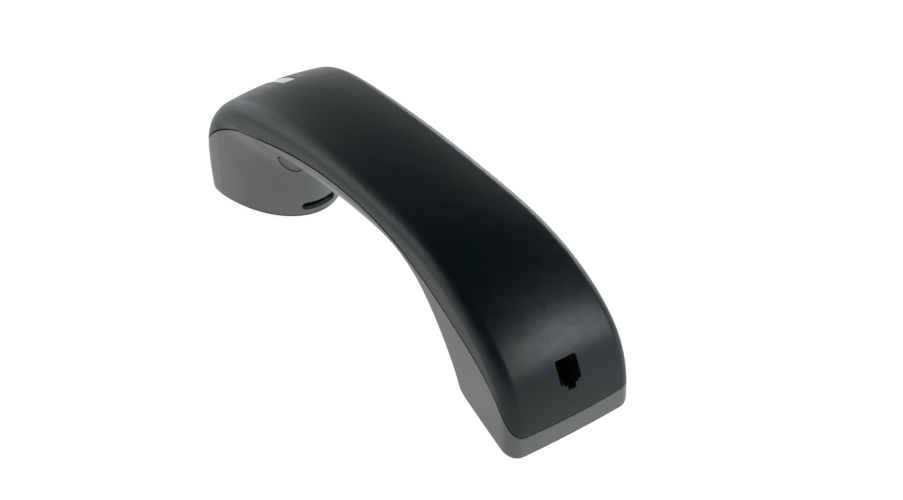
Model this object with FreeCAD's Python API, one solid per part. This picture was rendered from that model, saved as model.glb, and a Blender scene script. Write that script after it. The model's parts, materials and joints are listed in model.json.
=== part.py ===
import FreeCAD, Part
import math
import os

# Corded telephone handset, lying face down. Millimetres.
# X runs along the handset: the earpiece cup is at -X, the mouthpiece cup at +X.
# The handset is symmetric about Y = 0, +Z is up, and it rests on Z = 0.

V = FreeCAD.Vector
X, Y, Z = V(1, 0, 0), V(0, 1, 0), V(0, 0, 1)

# ---- driving dimensions ------------------------------------------------------------
WALL = 2.2                # wall of both shells
EAR_EDGE_R = 7.4          # rounding of the back's long edges at the earpiece's end wall
MOUTH_EDGE_R = 5.6        # the same at the mouthpiece's end wall; it changes evenly between them
SEAM_GAP = 0.70           # shadow gap between the two shells
EAR_HALF = 26.45          # half width at the earpiece
WAIST_HALF = 23.3         # half width at the grip's waist
MOUTH_HALF = 27.0         # half width at the mouthpiece
RIM_R = 2.0               # rounding of the cups' rims
REACH = 32.0              # half width of sheets that are trimmed by the sides later
FAR = 130.0               # beyond every part of the handset

# side view of the back, from the earpiece's end wall over the grip to the mouthpiece's
BACK = [(-100.4, -8.0), (-104.8, 14.9), (-104.0, 32.6), (-83.6, 51.8), (-57.4, 58.1), (-15.8, 61.8),
        (25.8, 60.5), (60.2, 57.0), (97.2, 35.7), (103.0, 12.7), (101.2, -8.0)]
# how far each of those points' rows falls from its centre to the sides: the mouth's end is flat
CROWN = [2.1, 2.1, 2.1, 2.1, 2.1, 2.1, 2.1, 2.1, 1.4, 0.4, 0.4]
# side view of the parting line between the shells
SEAM = [(-103.2, 15.0), (-99.7, 20.9), (-91.8, 33.5), (-64.7, 43.3), (-21.0, 52.6),
        (22.7, 52.7), (64.3, 38.8), (93.5, 25.0), (100.7, 7.7), (104.2, 7.7)]
# side view of the grip's underside, from inside the ear cup's wall to the mouth cup's rim
UNDER = [(-96.0, 30.0), (-64.7, 34.7), (-31.4, 39.2), (10.2, 41.4), (43.0, 38.9), (65.6, 16.6), (68.9, 10.4)]
UNDER_ROUND = [3.0, 5.0, 9.0, 9.5, 7.5, 1.5, 0.0]   # how far the underside rises at its two edges
MOUTH_RIM_X = 68.9        # inner edge of the mouth cup's face
MOUTH_RIM_Z = 10.4
MOUTH_TIP_X = 101.4       # outer edge of that face
MOUTH_TIP_Z = -0.69       # before its rim is rounded; the rounded rim then touches the table
CUP_TIP_X = -56.3         # where the ear cup's inner wall crosses the centre plane
CUP_A = 41.5              # half axes of the ellipse that the ear cup's inner wall follows
CUP_B = 26.65
CUP_BLEND = 20.0          # rounding where that wall runs into the grip

# ---- places and sizes of the inner pieces ------------------------------------------
FACE = WALL               # inner face of the ear cup's face plate
RX = -80.5                # the receiver's axis is X = RX, Y = 0
DISH_R, DISH_DEEP = 15.5, 1.0
RECEIVER_R = 17.5
FRAME_Z = FACE + 1.5      # the receiver stands on a gasket 1.5 thick
CONE_Z = FRAME_Z + 1.6    # underside of the diaphragm's edge
CONE_R = 12.0
COIL_R, COIL_WALL = 7.1, 0.5
YOKE_R, YOKE_TOP = 9.0, FRAME_Z + 9.3
BAR_T = 1.8               # thickness of the receiver's retaining bar
BAR_X, BAR_POST_Y = RX - 3.5, 19.9      # that bar's own centre, and its two screws
SCREW_R = 1.25
PLUG_X, PLUG_Y, PLUG_Z = -55.8, 11.0, 26.0    # where the screw wells' axes meet the outside
PLUG_R = 4.6
PLUG_SUNK = 0.35          # how far the plugs sit below the cup's outside
WELL_TILT = -45.0         # the wells lean from the vertical towards the ear end
SEAT = 9.0                # depth of the case screws' seats below that point
SLOT_Z, SLOT_HALF, SLOT_TALL = 5.3, 7.6, 3.4
WINDOW_X0, WINDOW_X1, WINDOW_HALF = -94.7, -74.7, 3.15
LAMP_X, LAMP_Z, LAMP_TILT = -81.0, 41.1, -32.0
JACK_HALF = 3.95          # the modular plug is 7.7 wide and 6.6 high
JACK_Z0, JACK_Z1 = 22.5, 29.5
NOTCH = [(3.0, 21.6), (1.75, 19.8)]    # half width and lower end of the latch notch's two steps
JACK_FACE, JACK_BACK, JACK_MOUTH = 92.4, 80.0, 81.3
JACK_WINDOW_HALF, JACK_WINDOW_TOP = 4.5, 30.5    # the back shell's window in front of it
BOARD_Z, BOARD_T = 16.4, 1.2
BOARD_POSTS = [(75.0, 15.0), (94.0, 15.0)]
PIVOT_X, PIVOT_Z = 91.4, 29.65
ARM_TIP_X, ARM_TIP_Z = 84.4, 27.45
WIRE = 0.42               # side of the jack's square spring wires
PITCH = 1.02              # contact pitch of the modular jack
MIC_X, MIC_R, MIC_H = 86.5, 6.4, 6.2
BALLAST_X, BALLAST_Y, BALLAST_Z = (-26.0, 26.0), 10.5, (44.6, 52.8)
BALLAST_SCREW_X = 16.0



# ---- small helpers -----------------------------------------------------------------
def spline(points):
    """A clamped cubic curve in the XZ plane whose control points are given."""
    curve = Part.BSplineCurve()
    curve.buildFromPoles([V(x, 0, z) for x, z in points], False, 3)
    return curve


def normals(points):
    """Unit normals of a control polygon, to the left of its direction of travel."""
    found = []
    for i in range(len(points)):
        before, after = points[max(i - 1, 0)], points[min(i + 1, len(points) - 1)]
        dx, dz = after[0] - before[0], after[1] - before[1]
        size = math.hypot(dx, dz)
        found.append((-dz / size, dx / size))
    return found


def moved_in(points, inset):
    """The same control points moved to the right of their direction of travel."""
    return [(x - nx * inset, z - nz * inset) for (x, z), (nx, nz) in zip(points, normals(points))]


def cubic_knots(count):
    spans = count - 3
    knots = [float(i) / spans for i in range(spans + 1)]
    mults = [4] + [1] * (spans - 1) + [4]
    return knots, mults


def sheet(rows, across_degree):
    """A surface through rows of control points; cubic along, one span across."""
    knots, mults = cubic_knots(len(rows))
    surface = Part.BSplineSurface()
    surface.buildFromPolesMultsKnots(rows, mults, [across_degree + 1] * 2, knots, [0.0, 1.0],
                                     False, False, 3, across_degree)
    return surface


def box(x0, x1, y0, y1, z0, z1):
    return Part.makeBox(x1 - x0, y1 - y0, z1 - z0, V(x0, y0, z0))


def prism_y(edges, half):
    """A solid from a closed outline in the XZ plane, spread evenly about Y = 0."""
    face = Part.Face(Part.Wire(edges))
    face.translate(V(0, -half, 0))
    return face.extrude(V(0, 2 * half, 0))


def line(a, b):
    return Part.LineSegment(a, b).toShape()


def polygon_y(points, half):
    return prism_y(Part.makePolygon([V(x, 0, z) for x, z in points + points[:1]]).Edges, half)


def under_sheet(surface, floor):
    """The solid between a sheet and a level floor under it; the sheet's rows run along X."""
    u0, u1, v0, v1 = surface.bounds()
    top = surface.toShape()
    ends = []
    for u in (u0, u1):
        a, b = surface.value(u, v0), surface.value(u, v1)
        rim = surface.uIso(u).toShape()
        low_a, low_b = V(a.x, a.y, floor), V(b.x, b.y, floor)
        if abs(a.z - floor) > 1e-6:
            ends.append(Part.Face(Part.Wire([rim, line(b, low_b), line(low_b, low_a), line(low_a, a)])))
    sides = []
    for v in (v0, v1):
        a, b = surface.value(u0, v), surface.value(u1, v)
        low_a, low_b = V(a.x, a.y, floor), V(b.x, b.y, floor)
        edges = [surface.vIso(v).toShape()]
        if abs(a.z - floor) > 1e-6:
            edges += [line(b, low_b), line(low_b, low_a), line(low_a, a)]
        else:
            edges += [line(b, a)]
        sides.append(Part.Face(Part.Wire(edges)))
    base = []
    for u in (u0, u1):
        a, b = surface.value(u, v0), surface.value(u, v1)
        if abs(a.z - floor) > 1e-6:
            base.append(line(V(a.x, a.y, floor), V(b.x, b.y, floor)))
        else:
            base.append(surface.uIso(u).toShape())
    for v in (v0, v1):
        a, b = surface.value(u0, v), surface.value(u1, v)
        base.append(line(V(a.x, a.y, floor), V(b.x, b.y, floor)))
    floor_face = Part.Face(Part.Wire(Part.__sortEdges__(base)))
    shell = Part.makeShell([top] + ends + sides + [floor_face])
    shell.sewShape()
    solid = Part.makeSolid(Part.makeShell(shell.Faces))
    if solid.Volume < 0:
        solid.reverse()
    return solid


# ---- the outer form ----------------------------------------------------------------
def crowned_back(inset):
    points = moved_in(BACK, inset)
    points[0] = (points[0][0], BACK[0][1])
    points[-1] = (points[-1][0], BACK[-1][1])
    slopes = normals(BACK)
    slopes[0], slopes[-1] = (-1.0, 0.0), (1.0, 0.0)
    rows = []
    for (x, z), (nx, nz), crown in zip(points, slopes, CROWN):
        fall = crown * (REACH / WAIST_HALF) ** 2
        rows.append([V(x - nx * fall, -REACH, z - nz * fall), V(x + nx * fall, 0, z + nz * fall),
                     V(x - nx * fall, REACH, z - nz * fall)])
    return sheet(rows, 2)


def side_walls(inset):
    """The plan outline of both sides, as a tall prism."""
    outline = [(-115, EAR_HALF), (-83, EAR_HALF), (-42, WAIST_HALF), (0, WAIST_HALF),
               (42, WAIST_HALF), (83, MOUTH_HALF), (115, MOUTH_HALF)]
    edges = []
    for side in (1, -1):
        curve = Part.BSplineCurve()
        curve.buildFromPoles([V(x, side * (y - inset), -20) for x, y in outline], False, 3)
        edges.append(curve.toShape())
    for x, half in ((-115, EAR_HALF - inset), (115, MOUTH_HALF - inset)):
        edges.append(line(V(x, -half, -20), V(x, half, -20)))
    face = Part.Face(Part.Wire(Part.__sortEdges__(edges)))
    return face.extrude(V(0, 0, 110))


def envelope(inset):
    """The whole handset as one lump, before the space under the grip is taken out."""
    lump = under_sheet(crowned_back(inset), BACK[0][1]).common(side_walls(inset))
    lump = lump.Solids[0]
    ear_r, mouth_r = max(EAR_EDGE_R - inset, 1.2), max(MOUTH_EDGE_R - inset, 1.2)
    for side in (1, -1):
        edge = [e for e in lump.Edges if e.BoundBox.XLength > 180 and e.BoundBox.ZMax > 30
                and side * e.CenterOfMass.y > 15 and e.BoundBox.YLength < 12]
        edge = edge[0]
        from_ear = edge.Vertexes[0].X < 0
        lump = lump.makeFillet(ear_r if from_ear else mouth_r, mouth_r if from_ear else ear_r, [edge])
    return lump


def under_grip(inset):
    """What is taken out under the grip, between the two cups; inset makes it larger."""
    points = moved_in(UNDER, -inset)
    points[-1] = (MOUTH_RIM_X + inset, MOUTH_RIM_Z)
    reach = (REACH / WAIST_HALF) ** 6
    rows = []
    for (x, z), rise in zip(points, UNDER_ROUND):
        rows.append([V(x, REACH * (i / 3.0 - 1), z + rise * reach * (-1) ** i) for i in range(7)])
    arch = under_sheet(sheet(rows, 6), -20.0).cut(cup_outline(inset))
    blend = [e for e in arch.Edges if e.BoundBox.YLength > 20 and e.BoundBox.XLength > 20
             and e.BoundBox.ZMin > 10 and e.BoundBox.YLength < 40]
    return arch.makeFillet(CUP_BLEND - inset, blend)


def cup_outline(inset):
    """The ear cup's inner wall as a tall elliptical column."""
    centre = V(CUP_TIP_X - CUP_A, 0, -30)
    ellipse = Part.Ellipse(centre, CUP_A - inset, CUP_B - inset)
    return Part.Face(Part.Wire([ellipse.toShape()])).extrude(V(0, 0, 110))


def mouth_face_z(x):
    """Height of the mouth cup's sloping face at X = x."""
    slope = (MOUTH_RIM_Z - MOUTH_TIP_Z) / (MOUTH_TIP_X - MOUTH_RIM_X)
    return MOUTH_RIM_Z - slope * (x - MOUTH_RIM_X)


def under_mouth(inset):
    """What is taken out under the mouth cup's sloping face, which curves up into the grip's underside."""
    bend = [(64.2, 16.6), (67.0, 13.2), (69.6, mouth_face_z(69.6)), (73.6, mouth_face_z(73.6))]
    points = moved_in(bend + [(112.0, mouth_face_z(112.0))], -inset)
    curve = spline(points[:4])
    a, b = V(points[0][0], 0, points[0][1]), V(points[3][0], 0, points[3][1])
    corners = [b, V(points[4][0], 0, points[4][1]), V(112, 0, -25), V(55, 0, -25), V(55, 0, a.z), a]
    edges = [curve.toShape()] + [line(p, q) for p, q in zip(corners[:-1], corners[1:])]
    return prism_y(edges, REACH + 2)


def above_seam(shift):
    """All space above the parting line, which is moved up by shift."""
    curve = spline([(x, z + shift) for x, z in SEAM])
    a, b = curve.StartPoint, curve.EndPoint
    corners = [b, V(FAR, 0, b.z), V(FAR, 0, 95), V(-FAR, 0, 95), V(-FAR, 0, a.z), a]
    edges = [curve.toShape()] + [line(p, q) for p, q in zip(corners[:-1], corners[1:])]
    return prism_y(edges, REACH + 6)


# ---- more helpers ------------------------------------------------------------------
def rod(x, y, z0, z1, r):
    return Part.makeCylinder(r, z1 - z0, V(x, y, z0), Z)


def ring(x, y, z0, z1, r, bore):
    return rod(x, y, z0, z1, r).cut(rod(x, y, z0 - 1, z1 + 1, bore))


def both_sides(make, y):
    """The same piece made at +y and at -y."""
    return [make(y), make(-y)]


def fuse(first, rest):
    return first.fuse(rest).removeSplitter()


def turned(points, x):
    """A solid of revolution about the vertical axis at X = x; points are (radius, z)."""
    wire = Part.makePolygon([V(x + r, 0, z) for r, z in points + points[:1]])
    return Part.Face(wire).revolve(V(x, 0, 0), Z, 360)


def stadium_x(x0, x1, half, tall, z):
    """A slot-shaped prism along X: flat top and bottom, round ends."""
    r = tall / 2.0
    mid = box(x0, x1, -(half - r), half - r, z - r, z + r)
    ends = [Part.makeCylinder(r, x1 - x0, V(x0, y, z), X) for y in (-(half - r), half - r)]
    return fuse(mid, ends)


def screw(length, head_r, at=0.0):
    """A pan-head screw along its own axis: the head's underside at z = at, the thread towards +Z."""
    head_h = 1.9
    head = rod(0, 0, -head_h, 0, head_r)
    head = head.makeFillet(0.5, [e for e in head.Edges if e.Closed and e.CenterOfMass.z < -1])
    bars = [box(-head_r * 0.6, head_r * 0.6, -0.28, 0.28, -head_h - 1, -head_h + 0.8),
            box(-0.28, 0.28, -head_r * 0.6, head_r * 0.6, -head_h - 1, -head_h + 0.8)]
    piece = head.fuse(rod(0, 0, -0.1, length, SCREW_R)).cut(bars).removeSplitter()
    piece.translate(V(0, 0, at))
    return piece


def screw_down(x, y, z, length, head_r):
    """A screw driven down, its head's underside at z."""
    piece = screw(length, head_r)
    piece.rotate(V(0, 0, 0), X, 180)
    piece.translate(V(x, y, z))
    return piece


def on_well(shape, side):
    """Carry a shape from a screw well's own axes (+Z inwards) to the well at y = side * PLUG_Y."""
    shape.rotate(V(0, 0, 0), Y, WELL_TILT)
    shape.translate(V(PLUG_X, side * PLUG_Y, PLUG_Z))
    return shape


def lead(points, radius):
    """A wire along straight runs joined by tangent arcs."""
    pts = [V(*p) for p in points]
    edges, start = [], pts[0]
    for a, b, c in zip(pts[:-2], pts[1:-1], pts[2:]):
        d1, d2 = (a - b), (c - b)
        cut = 0.45 * min(d1.Length, d2.Length)
        turn = math.pi - d1.getAngle(d2)
        d1.normalize()
        d2.normalize()
        p, q = b + d1 * cut, b + d2 * cut
        bend = cut / math.tan(turn / 2)
        middle = b + (d1 + d2).normalize() * (bend / math.cos(turn / 2) - bend)
        edges.append(line(start, p))
        edges.append(Part.Arc(p, middle, q).toShape())
        start = q
    edges.append(line(start, pts[-1]))
    path = Part.Wire(edges)
    first = pts[1] - pts[0]
    profile = Part.Wire([Part.Circle(pts[0], first, radius).toShape()])
    return path.makePipeShell([profile], True, False)


# ---- shells ------------------------------------------------------------------------
def outer_form():
    """The handset's closed outside, with both cups and their rounded rims."""
    form = envelope(0).cut(box(-FAR, 0, -40, 40, -30, 0))
    form = form.cut(under_mouth(0)).cut(under_grip(0))
    grip_edges = [e for e in form.Edges if e.BoundBox.XLength > 120 and e.BoundBox.ZMin > 8]
    form = form.makeFillet(3.0, grip_edges)
    ear_rim = [e for e in form.Edges if e.BoundBox.ZMax < 0.5 and e.BoundBox.XMax < 0]
    form = form.makeFillet(RIM_R, ear_rim)
    mouth_rim = [e for e in form.Edges if e.BoundBox.XMin > 60 and e.BoundBox.ZMax < 12.5]
    return form.makeFillet(RIM_R, mouth_rim)


def inner_form(inset):
    """The same outside moved in by inset: the room that the shells enclose."""
    form = envelope(inset)
    return form.cut([box(-FAR, FAR, -40, 40, -30, inset), under_mouth(inset), under_grip(inset)])


def front_wall(form, room):
    """The front cover's wall, with a lip along its edge that reaches inside the rear cover."""
    lip_face = inner_form(WALL + 0.15)
    wall = form.cut(inner_form(WALL + 1.3)).cut(above_seam(2.2))
    wall = wall.cut(above_seam(-SEAM_GAP / 2).cut(lip_face))
    return wall.cut(room.cut(above_seam(-3.6)))


def front_posts(form):
    """Posts and screw wells that stand on the front cover's floor."""
    posts = both_sides(lambda y: rod(BAR_X, y, 1.0, YOKE_TOP, 2.6), BAR_POST_Y)
    posts += [rod(x, 0, 30, BALLAST_Z[0], 3.6) for x in (-BALLAST_SCREW_X, BALLAST_SCREW_X)]
    for x, y in BOARD_POSTS:
        posts += both_sides(lambda side, px=x: rod(px, side, 0, BOARD_Z, 2.6), y)
    posts += both_sides(lambda side: on_well(rod(0, 0, -10, SEAT + 1.6, PLUG_R + 1.2), side), 1)
    return [post.common(form) for post in posts]


def front_holes():
    holes = both_sides(lambda y: rod(BAR_X, y, YOKE_TOP - 7, YOKE_TOP + 1, SCREW_R), BAR_POST_Y)
    for x in (-BALLAST_SCREW_X, BALLAST_SCREW_X):
        holes.append(rod(x, 0, BALLAST_Z[0] - 3.2, BALLAST_Z[0] + 1, SCREW_R))
    for x, y in BOARD_POSTS:
        holes += both_sides(lambda side, px=x: rod(px, side, BOARD_Z - 4.6, BOARD_Z + 1, SCREW_R), y)
    holes += both_sides(lambda side: on_well(rod(0, 0, -14, SEAT, PLUG_R), side), 1)
    holes += both_sides(lambda side: on_well(rod(0, 0, 0, SEAT + 4, SCREW_R + 0.25), side), 1)
    dish = (DISH_R ** 2 + DISH_DEEP ** 2) / (2 * DISH_DEEP)
    holes.append(Part.makeSphere(dish, V(RX, 0, DISH_DEEP - dish)))
    for count, radius in ((1, 0.0), (6, 4.4), (12, 8.8)):
        for i in range(count):
            a = 2 * math.pi * i / count
            holes.append(rod(RX + radius * math.cos(a), radius * math.sin(a), -1, 4, 0.9))
    holes += [rod(MIC_X + 0.6, y, -5, 12, 0.8) for y in (-2.6, 0.0, 2.6)]
    holes.append(stadium_x(-61.0, -50.0, SLOT_HALF, SLOT_TALL, SLOT_Z))
    return holes


def make_front_cover(form, room):
    wall = front_wall(form, room)
    return wall.fuse(front_posts(form)).cut(front_holes()).removeSplitter()


def jack_opening(x0, x1):
    """The plug's way in: a rectangle with the latch's two-step notch under it."""
    parts = [box(x0, x1, -JACK_HALF, JACK_HALF, JACK_Z0, JACK_Z1)]
    top = JACK_Z0
    for half, low in NOTCH:
        parts.append(box(x0, x1, -half, half, low, top))
        top = low
    return parts[0].fuse(parts[1:])


def jack_window(x0, x1):
    """The back shell's opening in front of the jack, a little larger and round-cornered."""
    half = JACK_WINDOW_HALF
    main = box(x0, x1, -half, half, JACK_Z0 - 0.2, JACK_WINDOW_TOP)
    main = main.makeFillet(0.8, [e for e in main.Edges if e.BoundBox.XLength > 1])
    return main.fuse(jack_opening(x0, x1))


def window_prism(grow):
    """A tall rounded bar in plan, that the lamp window is cut from."""
    bar = box(WINDOW_X0 - grow, WINDOW_X1 + grow, -WINDOW_HALF - grow, WINDOW_HALF + grow, 25, 70)
    upright = [e for e in bar.Edges if e.BoundBox.ZLength > 30]
    return bar.makeFillet(1.3, upright)


def on_lamp(shape):
    """Carry a shape from the lamp board's own axes to its place behind the window."""
    shape.rotate(V(0, 0, 0), Y, LAMP_TILT)
    shape.translate(V(LAMP_X, 0, LAMP_Z))
    return shape


def make_rear_cover(form, room):
    shell = form.cut(room).common(above_seam(SEAM_GAP / 2))
    skin = envelope(0.6)
    collar = box(JACK_FACE + 0.2, 104, -5.9, 5.9, 18.2, 31.6).common(skin)
    boss = both_sides(lambda side: on_well(rod(0, 0, SEAT + 1.7, 60, 3.2), side).common(skin), 1)
    posts = [on_lamp(Part.makeCylinder(1.2, 16, V(0, y, 1.2), Z)).common(skin) for y in (-5.6, 5.6)]
    under_roof = room.cut(inner_form(WALL + 2.0))
    ribs = [under_roof.common(box(x, x + 1.4, -14, 14, 50, 62)) for x in (-34, -2, 30, 52)]
    shell = shell.fuse([collar] + boss + posts + ribs)
    holes = [jack_window(JACK_FACE - 1, 106), window_prism(0.12)]
    holes += both_sides(lambda side: on_well(rod(0, 0, SEAT, SEAT + 16, SCREW_R), side), 1)
    return shell.cut(holes).removeSplitter()


def make_lamp_window():
    skin = envelope(0.25).cut(envelope(WALL + 0.05)).common(window_prism(0))
    flange = envelope(WALL + 0.04).cut(envelope(WALL + 1.1)).common(window_prism(1.2))
    return skin.fuse(flange).common(box(-FAR, 0, -9, 9, 34, 70)).removeSplitter()


def make_ear_screw_plugs(form):
    """Two caps that close the screw wells just below the cup's outside."""
    caps = []
    lean = math.radians(WELL_TILT)
    sunk_form = form.copy()
    sunk_form.translate(V(math.sin(lean), 0, math.cos(lean)) * PLUG_SUNK)
    for side in (1, -1):
        caps.append(on_well(rod(0, 0, -12, SEAT - 2.3, PLUG_R - 0.15), side).common(sunk_form))
    return Part.makeCompound(caps)


def make_hook_slot_liner(room):
    block = stadium_x(-61.9, -50.0, SLOT_HALF + 0.9, SLOT_TALL + 1.8, SLOT_Z).common(room)
    return block.cut(stadium_x(-61.0, -50.0, SLOT_HALF, SLOT_TALL, SLOT_Z))


# ---- receiver ----------------------------------------------------------------------
def make_receiver_frame():
    z = FRAME_Z
    profile = [(CONE_R + 2.4, z), (RECEIVER_R, z), (RECEIVER_R, z + 3.0), (YOKE_R + 4.0, z + 6.4),
               (YOKE_R, z + 6.4), (YOKE_R, z + 4.9), (YOKE_R + 3.2, z + 4.9), (CONE_R + 2.4, z + 2.6)]
    frame = turned(profile, RX)
    vents = []
    for i in range(6):
        vent = Part.makeCylinder(1.3, 12, V(RX, 0, z), Z)
        vent.translate(V(11.6, 0, 0))
        vent.rotate(V(RX, 0, 0), Z, 60 * i + 30)
        vents.append(vent)
    tabs = [box(RX + 12.0, RX + 16.6, y - 1.6, y + 1.6, z + 2.4, z + 7.2) for y in (-3.4, 3.4)]
    return frame.cut(vents).fuse(tabs).removeSplitter()


def make_receiver_terminals():
    z = FRAME_Z + 7.2
    return Part.makeCompound([box(RX + 12.4, RX + 16.2, y - 1.1, y + 1.1, z, z + 0.5).fuse(
        box(RX + 14.0, RX + 14.5, y - 1.1, y + 1.1, z + 0.5, z + 3.2)) for y in (-3.4, 3.4)])


def make_receiver_diaphragm():
    """A dome inside the voice coil and a shallow cone outside it, 0.35 thick."""
    t, z = 0.35, CONE_Z
    outer = [(0, z + 1.9), (3.2, z + 1.7), (5.6, z + 1.1), (6.5, z + 0.6), (COIL_R + 0.1, z + 0.6),
             (9.4, z + 0.9), (CONE_R, z)]
    upper = [(r, h + t) for r, h in reversed(outer)]
    return turned(outer + upper, RX)


def make_voice_coil():
    base = CONE_Z + 0.6 + 0.35 + 0.02
    bore, top = COIL_R - COIL_WALL, base + 4.2
    return turned([(bore, base), (COIL_R, base), (COIL_R, top), (bore, top)], RX)


def make_surround():
    """The soft half-roll between the cone's edge and the frame."""
    z, a, b = CONE_Z, CONE_R + 0.02, CONE_R + 2.38
    mid = (a + b) / 2
    return turned([(a, z), (mid, z - 0.7), (b, z), (b, z + 0.3), (mid, z - 0.4), (a, z + 0.3)], RX)


def make_yoke():
    top, wall = YOKE_TOP, 1.3
    base = top - 1.6
    low = FRAME_Z + 4.2
    bore = YOKE_R - wall
    return turned([(0, base), (bore, base), (bore, low), (YOKE_R, low), (YOKE_R, top), (0, top)], RX)


def make_magnet():
    return rod(RX, 0, YOKE_TOP - 3.4, YOKE_TOP - 1.6, 5.4)


def make_top_plate():
    plate = rod(RX, 0, YOKE_TOP - 4.5, YOKE_TOP - 3.4, 5.9)
    return plate.makeChamfer(0.2, [e for e in plate.Edges if e.Closed and e.CenterOfMass.z < YOKE_TOP - 4.4])


def make_retainer():
    z = YOKE_TOP
    bar = box(BAR_X - 3.6, BAR_X + 3.6, -BAR_POST_Y - 2.3, BAR_POST_Y + 2.3, z, z + BAR_T)
    bar = bar.makeFillet(2.4, [e for e in bar.Edges if e.BoundBox.ZLength > BAR_T - 0.1])
    bar = bar.fuse(ring(RX, 0, z, z + BAR_T, 9.0, 5.0))
    bar = bar.cut([rod(BAR_X, y, z - 1, z + 4, SCREW_R + 0.2) for y in (-BAR_POST_Y, BAR_POST_Y)])
    return bar.cut(rod(RX, 0, z - 1, z + 4, 5.0)).removeSplitter()


# ---- mouthpiece end ----------------------------------------------------------------
def on_mouth_floor(shape):
    """Carry a shape from its own axes to the sloping floor inside the mouth cup."""
    slope = math.atan2(MOUTH_RIM_Z - MOUTH_TIP_Z, MOUTH_TIP_X - MOUTH_RIM_X)
    floor_z = MOUTH_RIM_Z - math.tan(slope) * (MIC_X - MOUTH_RIM_X) + (WALL + 0.02) / math.cos(slope)
    shape.rotate(V(0, 0, 0), Y, math.degrees(slope))
    shape.translate(V(MIC_X, 0, floor_z))
    return shape


def make_boot():
    cup = rod(0, 0, 0.3, MIC_H, MIC_R).cut([rod(0, 0, 1.3, 9, 4.87), rod(0, 0, -1, 3, 1.8)])
    return on_mouth_floor(cup)


def make_capsule():
    can = rod(0, 0, 1.3, MIC_H - 0.2, 4.85)
    can = can.makeFillet(0.4, [e for e in can.Edges if e.Closed and e.CenterOfMass.z < 2])
    pins = [rod(0, y, MIC_H - 0.2, MIC_H + 0.6, 0.35) for y in (-1.27, 1.27)]
    return on_mouth_floor(can.cut(rod(0, 0, 1.0, 1.7, 1.2)).fuse(pins))


def make_jack_housing():
    body = box(JACK_BACK, JACK_FACE, -5.6, 5.6, BOARD_Z + BOARD_T, 31.5)
    upright = [e for e in body.Edges if e.BoundBox.XLength > 10]
    body = body.makeFillet(0.5, upright)
    slot = box(JACK_BACK - 1, JACK_FACE - 0.5, -2.3, 2.3, JACK_Z1 - 0.5, 31.0)
    corner = polygon_y([(JACK_FACE + 1, 28.4), (JACK_FACE + 1, 33), (JACK_FACE - 2.6, 33)], 7)
    return body.cut([jack_opening(JACK_MOUTH, JACK_FACE + 1), slot, corner])


def wire_rows():
    return [PITCH * (i - 1.5) for i in range(4)]


def make_tails():
    """The fixed part of each spring wire: along the jack's roof and down into the board."""
    h = WIRE / 2
    tails = []
    for y in wire_rows():
        run = box(79.1, PIVOT_X + 0.2, y - h, y + h, 30.25 - h, 30.25 + h)
        leg = box(79.1, 79.1 + WIRE, y - h, y + h, BOARD_Z - 0.9, 30.25 + h)
        tails.append(run.fuse(leg).removeSplitter())
    return Part.makeCompound(tails)


def make_contacts():
    """The four springing arms, sloping from the jack's mouth down into its cavity."""
    slope = math.atan2(PIVOT_Z - ARM_TIP_Z, PIVOT_X - ARM_TIP_X)
    length = math.hypot(PIVOT_Z - ARM_TIP_Z, PIVOT_X - ARM_TIP_X)
    arms = []
    for y in wire_rows():
        arm = box(-length, 0, y - WIRE / 2, y + WIRE / 2, -WIRE / 2, WIRE / 2)
        knuckle = Part.makeCylinder(WIRE / 2, WIRE, V(0, y - WIRE / 2, 0), Y)
        arm = arm.fuse(knuckle).removeSplitter()
        arm.rotate(V(0, 0, 0), Y, -math.degrees(slope))
        arm.translate(V(PIVOT_X, 0, PIVOT_Z))
        arms.append(arm)
    return Part.makeCompound(arms)


def make_insert():
    """The comb that spaces the wires, over the jack's cavity."""
    comb = box(JACK_BACK + 0.1, PIVOT_X - 2.0, -2.25, 2.25, 29.75, 30.95)
    grooves = [box(JACK_BACK - 1, PIVOT_X, y - 0.23, y + 0.23, 29.0, 30.48) for y in wire_rows()]
    return comb.cut(grooves)


def board_blank(x0, x1, half, z, t, holes):
    board = box(x0, x1, -half, half, z, z + t)
    corners = [e for e in board.Edges if e.BoundBox.ZLength > t - 0.01 and e.BoundBox.XLength < 0.01]
    return board.makeFillet(1.5, corners).cut([rod(x, y, z - 1, z + t + 1, r) for x, y, r in holes])


def make_main_board():
    holes = [(x, s * y, SCREW_R + 0.15) for x, y in BOARD_POSTS for s in (-1, 1)]
    holes += [(79.1 + WIRE / 2, y, 0.36) for y in wire_rows()]
    return board_blank(71.6, 96.4, 18.0, BOARD_Z, BOARD_T, holes)


def make_filter_coils():
    coils = []
    for y in (-9.0, 9.0):
        z = BOARD_Z + BOARD_T
        core = ring(76.5, y, z, z + 4.4, 1.6, 0.7)
        coils.append(fuse(core, [rod(76.5, y, z, z + 0.8, 2.9).cut(rod(76.5, y, z - 1, z + 2, 0.7)),
                                 rod(76.5, y, z + 3.6, z + 4.4, 2.9).cut(rod(76.5, y, z, z + 6, 0.7)),
                                 ring(76.5, y, z + 0.8, z + 3.6, 2.5, 1.5)]))
    return Part.makeCompound(coils)


def make_header():
    z = BOARD_Z + BOARD_T
    base = box(72.8, 77.6, -4.9, 4.9, z, z + 4.2).cut(box(73.4, 77.0, -4.3, 4.3, z + 1.0, z + 5))
    pins = [box(75.0, 75.5, y - 0.25, y + 0.25, z + 0.9, z + 3.6) for y in (-3, -1, 1, 3)]
    return base.fuse(pins).removeSplitter()


def make_lead_plug():
    z = BOARD_Z + BOARD_T + 1.1
    block = box(73.5, 76.9, -4.2, 4.2, z, z + 6.0)
    block = block.makeFillet(0.4, [e for e in block.Edges if e.BoundBox.ZLength > 5])
    return block.cut([box(74.95, 75.55, y - 0.3, y + 0.3, z - 1, z + 2.7) for y in (-3, -1, 1, 3)])


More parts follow.
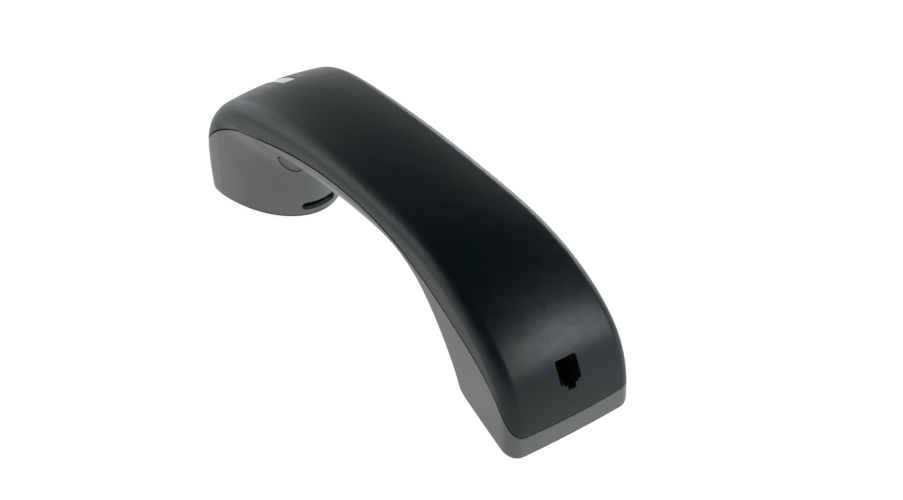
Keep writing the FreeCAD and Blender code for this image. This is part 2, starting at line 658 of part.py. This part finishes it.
# ---- lamp --------------------------------------------------------------------------
def make_lamp_board():
    board = Part.makeBox(17.0, 15.0, 1.2, V(-8.5, -7.5, 0))
    corners = [e for e in board.Edges if e.BoundBox.ZLength > 1 and e.BoundBox.XLength < 0.1]
    board = board.makeFillet(1.0, corners)
    return on_lamp(board)


def make_lamp_leds():
    lamps = []
    for x in (-4.5, 4.5):
        case = Part.makeBox(3.4, 2.8, 1.0, V(x - 1.7, -1.4, 1.2))
        lens = Part.makeSphere(0.95, V(x, 0, 2.2))
        lamps.append(on_lamp(case.fuse(lens).removeSplitter()))
    return Part.makeCompound(lamps)


# ---- weight, foam and small parts --------------------------------------------------
def make_ballast():
    x, y, z = BALLAST_X, BALLAST_Y, BALLAST_Z
    block = box(x[0], x[1], -y, y, z[0], z[1])
    block = block.makeFillet(1.6, [e for e in block.Edges if e.BoundBox.ZLength > 8])
    holes = [rod(s * BALLAST_SCREW_X, 0, 40, 56, SCREW_R + 0.25) for s in (-1, 1)]
    sinks = [rod(s * BALLAST_SCREW_X, 0, z[1] - 4.0, z[1] + 1, 3.1) for s in (-1, 1)]
    return block.cut(holes + sinks)


def make_foam():
    return box(-43.6, -36.0, -8.2, 8.2, 41.4, 53.6)


def make_retainer_screws():
    head_z = YOKE_TOP + BAR_T
    return Part.makeCompound(both_sides(lambda y: screw_down(BAR_X, y, head_z, 7.5, 2.4), BAR_POST_Y))


def make_board_screws():
    places = [(x, s * y) for x, y in BOARD_POSTS for s in (-1, 1)]
    return Part.makeCompound([screw_down(x, y, BOARD_Z + BOARD_T, 5.0, 2.3) for x, y in places])


def make_ballast_screws():
    head_z = BALLAST_Z[1] - 4.0
    return Part.makeCompound([screw_down(s * BALLAST_SCREW_X, 0, head_z, 6.6, 2.6) for s in (-1, 1)])


def receiver_lead(side):
    """From the plug on the main board, beside the weight, to one of the receiver's terminals."""
    s = side
    return [(75.2, 3.0 * s, 24.75), (75.0, 3.0 * s, 30), (70.0, 6.0 * s, 36), (61.0, 10.0 * s, 42.5),
            (48.0, 13.5 * s, 47.5), (30.0, 14.6 * s, 50.2), (2.0, 14.4 * s, 51.2), (-26.0, 14.2 * s, 51.0),
            (-46.0, 9.0 * s, 50.4),
            (-60.0, 4.4 * s, 45.5), (-67.4, 3.4 * s, 36.0), (-67.8, 3.4 * s, 24.0), (-66.2, 3.4 * s, 14.4)]


def lamp_lead(side):
    """From the same plug, above the weight, to the lamp board."""
    s = side
    return [(75.2, 1.0 * s, 24.75), (74.6, 1.0 * s, 31), (69.0, 2.0 * s, 38), (59.0, 5.0 * s, 45.0),
            (46.0, 11.6 * s, 49.8), (28.0, 16.6 * s, 51.2), (2.0, 16.6 * s, 52.2), (-26.0, 16.4 * s, 52.0),
            (-46.0, 12.0 * s, 52.2),
            (-60.0, 7.0 * s, 48.0), (-69.0, 5.6 * s, 42.5), (-74.2, 4.8 * s, 40.4), (-76.25, 4.6 * s, 43.9)]


def make_nodes():
    form, room = outer_form(), inner_form(WALL)
    return {
        "rear_cover": make_rear_cover(form, room),
        "front_cover": make_front_cover(form, room),
        "lamp_window": make_lamp_window(),
        "lamp_board": make_lamp_board(),
        "lamp_leds": make_lamp_leds(),
        "ear_screw_plugs": make_ear_screw_plugs(form),
        "hook_slot_liner": make_hook_slot_liner(room),
        "receiver_screen": rod(RX, 0, FACE + 0.02, FACE + 0.35, 11.0),
        "receiver_gasket": ring(RX, 0, FACE, FRAME_Z, RECEIVER_R - 0.4, 11.6),
        "receiver_frame": make_receiver_frame(),
        "receiver_surround": make_surround(),
        "receiver_diaphragm": make_receiver_diaphragm(),
        "receiver_voice_coil": make_voice_coil(),
        "receiver_yoke": make_yoke(),
        "receiver_magnet": make_magnet(),
        "receiver_top_plate": make_top_plate(),
        "receiver_terminals": make_receiver_terminals(),
        "receiver_retainer": make_retainer(),
        "retainer_screws": make_retainer_screws(),
        "microphone_screen": on_mouth_floor(rod(0, 0, 0, 0.28, 5.0)),
        "microphone_boot": make_boot(),
        "microphone_capsule": make_capsule(),
        "jack_housing": make_jack_housing(),
        "jack_insert": make_insert(),
        "jack_contact_tails": make_tails(),
        "jack_contacts": make_contacts(),
        "main_board": make_main_board(),
        "board_screws": make_board_screws(),
        "filter_coils": make_filter_coils(),
        "lead_header": make_header(),
        "lead_plug": make_lead_plug(),
        "receiver_lead_red": lead(receiver_lead(1), 0.55),
        "receiver_lead_black": lead(receiver_lead(-1), 0.55),
        "lamp_lead_white": lead(lamp_lead(1), 0.5),
        "lamp_lead_yellow": lead(lamp_lead(-1), 0.5),
        "ballast_weight": make_ballast(),
        "ballast_screws": make_ballast_screws(),
        "acoustic_foam": make_foam(),
        "case_screws": Part.makeCompound([on_well(screw(14.0, 2.7, SEAT), side) for side in (-1, 1)]),
    }


os.makedirs("parts", exist_ok=True)
for name, shape in make_nodes().items():
    print(name, "solids", len(shape.Solids), "valid", shape.isValid(), "cm3 %.3f" % (shape.Volume / 1000))
    shape.exportStep(os.path.join("parts", name + ".step"))
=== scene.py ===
"""Looks of a corded telephone handset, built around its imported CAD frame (metres)."""

import json
import math

import bmesh
import bpy
from mathutils import Matrix, Vector


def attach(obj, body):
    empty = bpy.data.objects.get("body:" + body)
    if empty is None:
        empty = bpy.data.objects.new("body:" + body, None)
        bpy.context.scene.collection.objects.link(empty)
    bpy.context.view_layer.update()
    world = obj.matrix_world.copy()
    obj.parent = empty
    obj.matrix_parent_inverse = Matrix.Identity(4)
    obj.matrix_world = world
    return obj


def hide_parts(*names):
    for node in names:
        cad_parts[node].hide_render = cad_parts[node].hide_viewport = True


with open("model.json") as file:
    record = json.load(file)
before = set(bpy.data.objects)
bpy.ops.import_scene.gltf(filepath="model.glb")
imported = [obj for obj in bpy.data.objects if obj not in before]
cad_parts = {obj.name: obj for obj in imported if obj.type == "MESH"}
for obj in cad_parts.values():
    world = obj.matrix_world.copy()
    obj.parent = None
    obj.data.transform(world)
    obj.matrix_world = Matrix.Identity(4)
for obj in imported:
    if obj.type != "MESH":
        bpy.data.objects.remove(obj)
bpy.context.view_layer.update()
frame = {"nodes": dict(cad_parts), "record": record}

MM = 0.001

# ---- the camera: its angle, distance, lens and where its axis meets the picture ------
CAM_AZ, CAM_EL, CAM_ROLL = 54.96, 36.98, -0.61
CAM_DISTANCE = 700.3 * MM
CAM_TARGET = Vector((0, 0, 30.24 * MM))
CAM_LENS = 75.43
CAM_SHIFT = (0.0548, -0.0320)
CAM_SENSOR = 36.0
CAM_CLIP = (0.01, 50.0)

# ---- light -----------------------------------------------------------------------
FLOOR_GLOW = 0.93
FLOOR_HALF = 12.0                # metres from the middle of the floor to its edge
COOL = (0.90, 0.985, 1.0)        # the studio lamps are a little cool
LAMP_TARGET = (0, 0, 0.03)       # every softbox faces this point
# each softbox: azimuth and elevation in degrees, distance, width, height in metres, watts
SOFTBOXES = {
    "left": (292.0, 20.0, 1.5, 2.2, 0.9, 13.0),
    "right": (126.0, 31.0, 1.6, 0.62, 0.62, 10.0),
    "back": (205.0, 6.0, 1.8, 1.3, 0.5, 9.0),
}
# the room's brightness against the sine of the elevation
ROOM = [(0.0, 1.0), (0.17, 0.70), (0.34, 0.36), (0.50, 0.16), (0.64, 0.06), (0.85, 0.025)]

# ---- painted shade in narrow gaps --------------------------------------------------
GAP_REACH = 2.0 * MM             # how near a facing wall must be to paint shade on a surface
GAP_DARK, GAP_CLEAR = 0.70, 0.97  # the openness where the painted shade is full, and where it ends
# the colour of the painted shade deep inside a gap
GAP_SHADE_COLOR = (0.0004, 0.0004, 0.0005, 1)
GAP_ROUGH = 0.95

# ---- surfaces of the two covers ------------------------------------------------------
WELD = 0.004 * MM
SLIVER = 0.002 * MM
CREASE_ANGLE = 32.0              # degrees; sharper edges stay crisp

# the Mix node's sockets, which share their names between data types
COLOR_A, COLOR_B, COLOR_RESULT = 6, 7, 2
FLOAT_A, FLOAT_B, FLOAT_RESULT = 2, 3, 0


# ---- node helpers ------------------------------------------------------------------
class Shader:
    """A material's node tree, with short calls for the nodes that the finishes use."""

    def __init__(self, name):
        self.mat = bpy.data.materials.new(name)
        self.mat.use_nodes = True
        self.tree = self.mat.node_tree
        self.bsdf = self.tree.nodes["Principled BSDF"]
        self.coords = self.add("ShaderNodeTexCoord").outputs["Object"]

    def add(self, kind, **values):
        node = self.tree.nodes.new(kind)
        for key, value in values.items():
            setattr(node, key, value)
        return node

    def link(self, source, target):
        self.tree.links.new(source, target)

    def noise(self, scale, detail=2.0, rough=0.5):
        node = self.add("ShaderNodeTexNoise")
        node.inputs["Scale"].default_value = scale
        node.inputs["Detail"].default_value = detail
        node.inputs["Roughness"].default_value = rough
        self.link(self.coords, node.inputs["Vector"])
        return node.outputs["Fac"]

    def cells(self, scale, feature="F1"):
        node = self.add("ShaderNodeTexVoronoi", feature=feature)
        node.inputs["Scale"].default_value = scale
        self.link(self.coords, node.inputs["Vector"])
        return node.outputs["Distance"]

    def waves(self, scale, direction, kind="BANDS"):
        node = self.add("ShaderNodeTexWave", wave_type=kind)
        if kind == "BANDS":
            node.bands_direction = direction
        node.inputs["Scale"].default_value = scale
        node.inputs["Distortion"].default_value = 0.4
        node.inputs["Detail"].default_value = 1.0
        self.link(self.coords, node.inputs["Vector"])
        return node.outputs["Fac"]

    def math(self, operation, first, second):
        node = self.add("ShaderNodeMath", operation=operation)
        self.link(first, node.inputs[0])
        self.link(second, node.inputs[1])
        return node.outputs["Value"]

    def spread(self, source, low, high, from_low=0.3, from_high=0.7):
        node = self.add("ShaderNodeMapRange")
        limits = {"From Min": from_low, "From Max": from_high, "To Min": low, "To Max": high}
        for key, value in limits.items():
            node.inputs[key].default_value = value
        self.link(source, node.inputs["Value"])
        return node.outputs["Result"]

    def tint(self, source, dark, light, low=0.35, high=0.65):
        node = self.add("ShaderNodeValToRGB")
        ends = node.color_ramp.elements
        ends[0].position, ends[1].position = low, high
        ends[0].color, ends[1].color = (*dark, 1), (*light, 1)
        self.link(source, node.inputs["Fac"])
        return node.outputs["Color"]

    def bump(self, source, height, strength=1.0, under=None):
        node = self.add("ShaderNodeBump")
        node.inputs["Strength"].default_value = strength
        node.inputs["Distance"].default_value = height
        self.link(source, node.inputs["Height"])
        if under is not None:
            self.link(under, node.inputs["Normal"])
        return node.outputs["Normal"]

    def put(self, **sockets):
        for key, value in sockets.items():
            target = self.bsdf.inputs[key.replace("_", " ")]
            if isinstance(value, bpy.types.NodeSocket):
                self.link(value, target)
            else:
                target.default_value = value
        return self.mat


# ---- finishes ----------------------------------------------------------------------
def paint_gap_shade(s, color, rough):
    """Paint shade into a finish inside narrow gaps: darken its colour where light doesn't reach, and
    dull it there.
    """
    gap = s.add("ShaderNodeAmbientOcclusion", samples=12)
    gap.inputs["Distance"].default_value = GAP_REACH
    clear = s.spread(gap.outputs["AO"], 0.0, 1.0, GAP_DARK, GAP_CLEAR)
    shade = s.add("ShaderNodeMix", data_type="RGBA")
    s.link(clear, shade.inputs["Factor"])
    shade.inputs[COLOR_A].default_value = GAP_SHADE_COLOR
    s.link(color, shade.inputs[COLOR_B])
    dull = s.add("ShaderNodeMix", data_type="FLOAT")
    s.link(clear, dull.inputs["Factor"])
    dull.inputs[FLOAT_A].default_value = GAP_ROUGH
    s.link(rough, dull.inputs[FLOAT_B])
    return shade.outputs[COLOR_RESULT], dull.outputs[FLOAT_RESULT]


def moulded(name, color, rough, grain=5200.0, grain_height=0.020 * MM, lift=1.25,
            gaps=False, **more):
    """Spark-eroded moulded plastic: a fine grain, faint flow mottling and hardly any scuffs."""
    s = Shader(name)
    flow = s.noise(38.0, 3.0)
    fine = s.noise(grain, 2.0, 0.6)
    shade = s.tint(flow, color, tuple(c * lift for c in color))
    scuff = s.spread(s.noise(210.0, 4.0, 0.65), rough - 0.03, rough + 0.05)
    if gaps:
        # painted shade: darker colour in the narrow gaps between parts
        shade, scuff = paint_gap_shade(s, shade, scuff)
    normal = s.bump(fine, grain_height, 0.55, under=s.bump(flow, 0.05 * MM, 0.05))
    return s.put(Base_Color=shade, Roughness=scuff, Normal=normal, IOR=1.5, **more)


def metal(name, color, rough, scratch=(900.0, 60.0, 60.0), lift=1.2, pits=0.006 * MM):
    """Bare or plated metal: a stretched tool grain, cloudy tarnish and small pits."""
    s = Shader(name)
    stretch = s.add("ShaderNodeMapping")
    stretch.inputs["Scale"].default_value = scratch
    s.link(s.coords, stretch.inputs["Vector"])
    lay = s.add("ShaderNodeTexNoise")
    lay.inputs["Scale"].default_value = 18.0
    lay.inputs["Detail"].default_value = 5.0
    s.link(stretch.outputs["Vector"], lay.inputs["Vector"])
    cloud = s.noise(260.0, 3.0)
    shade = s.tint(cloud, color, tuple(min(c * lift, 1.0) for c in color))
    gloss = s.spread(lay.outputs["Fac"], rough - 0.08, rough + 0.12)
    normal = s.bump(s.noise(3800.0, 2.0), pits, 0.5, under=s.bump(lay.outputs["Fac"], pits, 0.6))
    return s.put(Base_Color=shade, Roughness=gloss, Normal=normal, Metallic=1.0)


def board():
    """Green solder mask over copper tracks, with the glass weave just showing."""
    s = Shader("circuit_board")
    tracks = s.spread(s.cells(420.0, "DISTANCE_TO_EDGE"), 1.0, 0.0, 0.05, 0.09)
    weave = s.waves(900.0, "X")
    mask = s.tint(tracks, (0.010, 0.095, 0.040), (0.024, 0.170, 0.070), 0.2, 0.8)
    normal = s.bump(tracks, 0.035 * MM, 0.8, under=s.bump(weave, 0.006 * MM, 0.4))
    return s.put(Base_Color=mask, Roughness=s.spread(weave, 0.26, 0.36), Normal=normal)


def cloth():
    """Fine woven acoustic cloth over the sound holes."""
    s = Shader("cloth")
    warp, weft = s.waves(2600.0, "X"), s.waves(2600.0, "Y")
    both = s.math("MULTIPLY", warp, weft)
    shade = s.tint(both, (0.006, 0.006, 0.007), (0.040, 0.040, 0.043), 0.1, 0.8)
    fuzz = s.spread(s.noise(700.0, 3.0), 0.82, 0.98)
    return s.put(Base_Color=shade, Roughness=fuzz, Normal=s.bump(both, 0.05 * MM, 0.9),
                 Sheen_Weight=0.3)


def foam():
    """Open-cell foam and soft rubber: dark pores in a matt grey."""
    s = Shader("foam_rubber")
    pores = s.cells(1700.0)
    shade = s.tint(pores, (0.055, 0.055, 0.058), (0.014, 0.014, 0.015), 0.25, 0.75)
    matt = s.spread(s.noise(900.0, 3.0), 0.80, 0.95)
    return s.put(Base_Color=shade, Roughness=matt, Normal=s.bump(pores, 0.12 * MM, 0.8))


def film():
    """The receiver's thin formed film, amber and slightly clear, with stiffening ripples."""
    s = Shader("cone_film")
    ripples = s.waves(520.0, "X", "RINGS")
    cloud = s.noise(180.0, 3.0)
    shade = s.tint(cloud, (0.42, 0.30, 0.14), (0.58, 0.44, 0.24))
    return s.put(Base_Color=shade, Roughness=s.spread(cloud, 0.16, 0.28), Subsurface_Weight=0.25,
                 Subsurface_Scale=0.4 * MM, Normal=s.bump(ripples, 0.05 * MM, 0.6))


def winding(name, color):
    """Enamelled wire wound in close layers."""
    s = Shader(name)
    turns = s.waves(4200.0, "Z")
    cloud = s.noise(300.0, 3.0)
    shade = s.tint(cloud, color, tuple(min(c * 1.25, 1.0) for c in color))
    return s.put(Base_Color=shade, Metallic=0.85, Roughness=s.spread(turns, 0.20, 0.36),
                 Normal=s.bump(turns, 0.05 * MM, 0.9), Coat_Weight=0.5)


def lens():
    """Milky moulded lamp window that scatters the lamps' light."""
    s = Shader("lamp_lens")
    cloud = s.noise(95.0, 3.0)
    shade = s.tint(cloud, (0.86, 0.77, 0.72), (0.90, 0.81, 0.76))
    return s.put(Base_Color=shade, Roughness=s.spread(s.noise(240.0, 3.0), 0.26, 0.36),
                 Subsurface_Weight=0.35, Subsurface_Scale=1.2 * MM,
                 Normal=s.bump(s.noise(3600.0, 2.0), 0.012 * MM, 0.4))


def insulation(name, color):
    """Soft extruded lead insulation: faint draw lines and a dull shine."""
    s = Shader(name)
    lines = s.noise(1500.0, 4.0)
    shade = s.tint(s.noise(120.0, 2.0), color, tuple(min(c * 1.3 + 0.004, 1.0) for c in color))
    return s.put(Base_Color=shade, Roughness=s.spread(lines, 0.34, 0.50),
                 Normal=s.bump(lines, 0.02 * MM, 0.5))


MATERIALS = {
    # gaps=True paints shade into the covers' narrow gaps and seams
    "back_shell": lambda: moulded("back_shell", (0.0028, 0.0072, 0.0090), 0.36, gaps=True,
                                  Specular_IOR_Level=0.36),
    "front_shell": lambda: moulded("front_shell", (0.098, 0.101, 0.103), 0.36, gaps=True),
    "front_shell_trim": lambda: moulded("front_shell_trim", (0.074, 0.077, 0.078), 0.38, gaps=True),
    "black_insert": lambda: moulded("black_insert", (0.0032, 0.0034, 0.0038), 0.42, grain=3400.0),
    "lamp_lens": lens,
    "circuit_board": board,
    "led_body": lambda: moulded("led_body", (0.60, 0.60, 0.56), 0.22, grain=2600.0,
                                Subsurface_Weight=0.2, Subsurface_Scale=0.5 * MM),
    "cloth": cloth,
    "foam_rubber": foam,
    "cone_film": film,
    "copper_wire": lambda: winding("copper_wire", (0.62, 0.25, 0.12)),
    "zinc_steel": lambda: metal("zinc_steel", (0.50, 0.51, 0.52), 0.34),
    "magnet": lambda: metal("magnet", (0.40, 0.39, 0.37), 0.26, scratch=(80.0, 80.0, 500.0)),
    "tinned_brass": lambda: metal("tinned_brass", (0.62, 0.60, 0.54), 0.30),
    "screw_steel": lambda: metal("screw_steel", (0.30, 0.30, 0.32), 0.30, scratch=(60.0, 60.0, 900.0)),
    "capsule_can": lambda: metal("capsule_can", (0.70, 0.71, 0.72), 0.24, scratch=(60.0, 60.0, 700.0)),
    "gold_wire": lambda: metal("gold_wire", (0.78, 0.56, 0.22), 0.20, pits=0.003 * MM),
    "ferrite": lambda: moulded("ferrite", (0.020, 0.019, 0.020), 0.66, grain=2400.0,
                               grain_height=0.05 * MM),
    "connector": lambda: moulded("connector", (0.62, 0.60, 0.52), 0.40, grain=3000.0),
    "wire_red": lambda: insulation("wire_red", (0.42, 0.018, 0.012)),
    "wire_black": lambda: insulation("wire_black", (0.010, 0.010, 0.011)),
    "wire_white": lambda: insulation("wire_white", (0.70, 0.70, 0.67)),
    "wire_yellow": lambda: insulation("wire_yellow", (0.62, 0.44, 0.030)),
}


# ---- geometry helpers --------------------------------------------------------------
def skin(node, name, body):
    """The CAD node's mesh as one welded, smoothly shaded surface with crisp edges kept."""
    source = frame["nodes"][node]
    mesh = source.data.copy()
    obj = bpy.data.objects.new(name, mesh)
    bpy.context.scene.collection.objects.link(obj)
    bm = bmesh.new()
    bm.from_mesh(mesh)
    bmesh.ops.remove_doubles(bm, verts=bm.verts, dist=WELD)
    bmesh.ops.dissolve_degenerate(bm, edges=bm.edges, dist=SLIVER)
    limit = math.radians(CREASE_ANGLE)
    for edge in bm.edges:
        edge.smooth = edge.is_manifold and edge.calc_face_angle(0.0) < limit
    for face in bm.faces:
        face.smooth = True
    bm.to_mesh(mesh)
    bm.free()
    if mesh.has_custom_normals:
        bpy.context.view_layer.objects.active = obj
        with bpy.context.temp_override(object=obj, active_object=obj, mesh=mesh):
            bpy.ops.mesh.customdata_custom_splitnormals_clear()
    flat_first = obj.modifiers.new("flat_first", "WEIGHTED_NORMAL")
    flat_first.keep_sharp = True
    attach(obj, body)
    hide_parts(node)
    return obj


def dress(obj, material):
    """Give the object this one material, in a single slot."""
    obj.data.materials.clear()
    obj.data.materials.append(material)


# ---- the pieces --------------------------------------------------------------------
SLOT_OF = {s["node"]: s["material_slot"] for s in frame["record"]["subparts"]}
finishes = {key: make() for key, make in MATERIALS.items()}
for node_name, node_obj in frame["nodes"].items():
    dress(node_obj, finishes[SLOT_OF[node_name]])
for node_name in ("rear_cover", "front_cover"):
    piece = skin(node_name, node_name + "_skin", "handset")
    dress(piece, finishes[SLOT_OF[node_name]])


# ---- studio ------------------------------------------------------------------------
def outward(az, el):
    """The unit vector towards that azimuth and elevation, in radians."""
    return Vector((math.sin(az) * math.cos(el), -math.cos(az) * math.cos(el), math.sin(el)))


def make_camera():
    az, el, roll = (math.radians(v) for v in (CAM_AZ, CAM_EL, CAM_ROLL))
    back = outward(az, el)
    right = Vector((math.cos(az), math.sin(az), 0))
    up = back.cross(right)
    right_rolled = right * math.cos(roll) + up * math.sin(roll)
    up_rolled = up * math.cos(roll) - right * math.sin(roll)
    data = bpy.data.cameras.new("camera")
    data.lens, data.sensor_width = CAM_LENS, CAM_SENSOR
    data.shift_x, data.shift_y = CAM_SHIFT
    data.clip_start, data.clip_end = CAM_CLIP
    cam = bpy.data.objects.new("camera", data)
    bpy.context.scene.collection.objects.link(cam)
    turn = Matrix((right_rolled, up_rolled, back)).transposed().to_4x4()
    cam.matrix_world = Matrix.Translation(CAM_TARGET + back * CAM_DISTANCE) @ turn
    bpy.context.scene.camera = cam


def make_floor():
    """A table that glows nearly white, so that it shows almost no shadow."""
    mesh = bpy.data.meshes.new("floor")
    half = FLOOR_HALF
    corners = [(-half, -half, 0), (half, -half, 0), (half, half, 0), (-half, half, 0)]
    mesh.from_pydata(corners, [], [(0, 1, 2, 3)])
    floor = bpy.data.objects.new("floor", mesh)
    bpy.context.scene.collection.objects.link(floor)
    s = Shader("white_table")
    mottle = s.noise(3.0, 2.0)
    shade = s.tint(mottle, (0.24, 0.24, 0.24), (0.26, 0.26, 0.26))
    dress(floor, s.put(Base_Color=shade, Roughness=0.9, Emission_Color=(1, 1, 1, 1),
                       Emission_Strength=FLOOR_GLOW))


def make_world():
    """A pale room near the horizon that falls off to a dark ceiling."""
    world = bpy.data.worlds.new("studio")
    world.use_nodes = True
    bpy.context.scene.world = world
    nodes, links = world.node_tree.nodes, world.node_tree.links
    coords = nodes.new("ShaderNodeTexCoord")
    split = nodes.new("ShaderNodeSeparateXYZ")
    ramp = nodes.new("ShaderNodeValToRGB")
    links.new(coords.outputs["Generated"], split.inputs["Vector"])
    links.new(split.outputs["Z"], ramp.inputs["Fac"])
    stops = ramp.color_ramp.elements
    while len(stops) < len(ROOM):
        stops.new(0.5)
    for stop, (height, level) in zip(stops, ROOM):
        stop.position = height
        stop.color = (level * COOL[0], level * COOL[1], level * COOL[2], 1)
    links.new(ramp.outputs["Color"], nodes["Background"].inputs["Color"])


def softbox(name, azimuth, elevation, distance, width, height, watts):
    """A rectangular lamp in that direction from LAMP_TARGET, facing it."""
    out = outward(math.radians(azimuth), math.radians(elevation))
    data = bpy.data.lights.new(name, "AREA")
    data.shape, data.size, data.size_y, data.energy = "RECTANGLE", width, height, watts
    data.color = COOL
    lamp = bpy.data.objects.new(name, data)
    bpy.context.scene.collection.objects.link(lamp)
    lamp.location = Vector(LAMP_TARGET) + out * distance
    lamp.rotation_mode = "QUATERNION"
    lamp.rotation_quaternion = out.to_track_quat("Z", "Y")


make_camera()
make_floor()
make_world()
for lamp_name, settings in SOFTBOXES.items():
    softbox(lamp_name, *settings)
bpy.context.scene.view_settings.view_transform = "Standard"
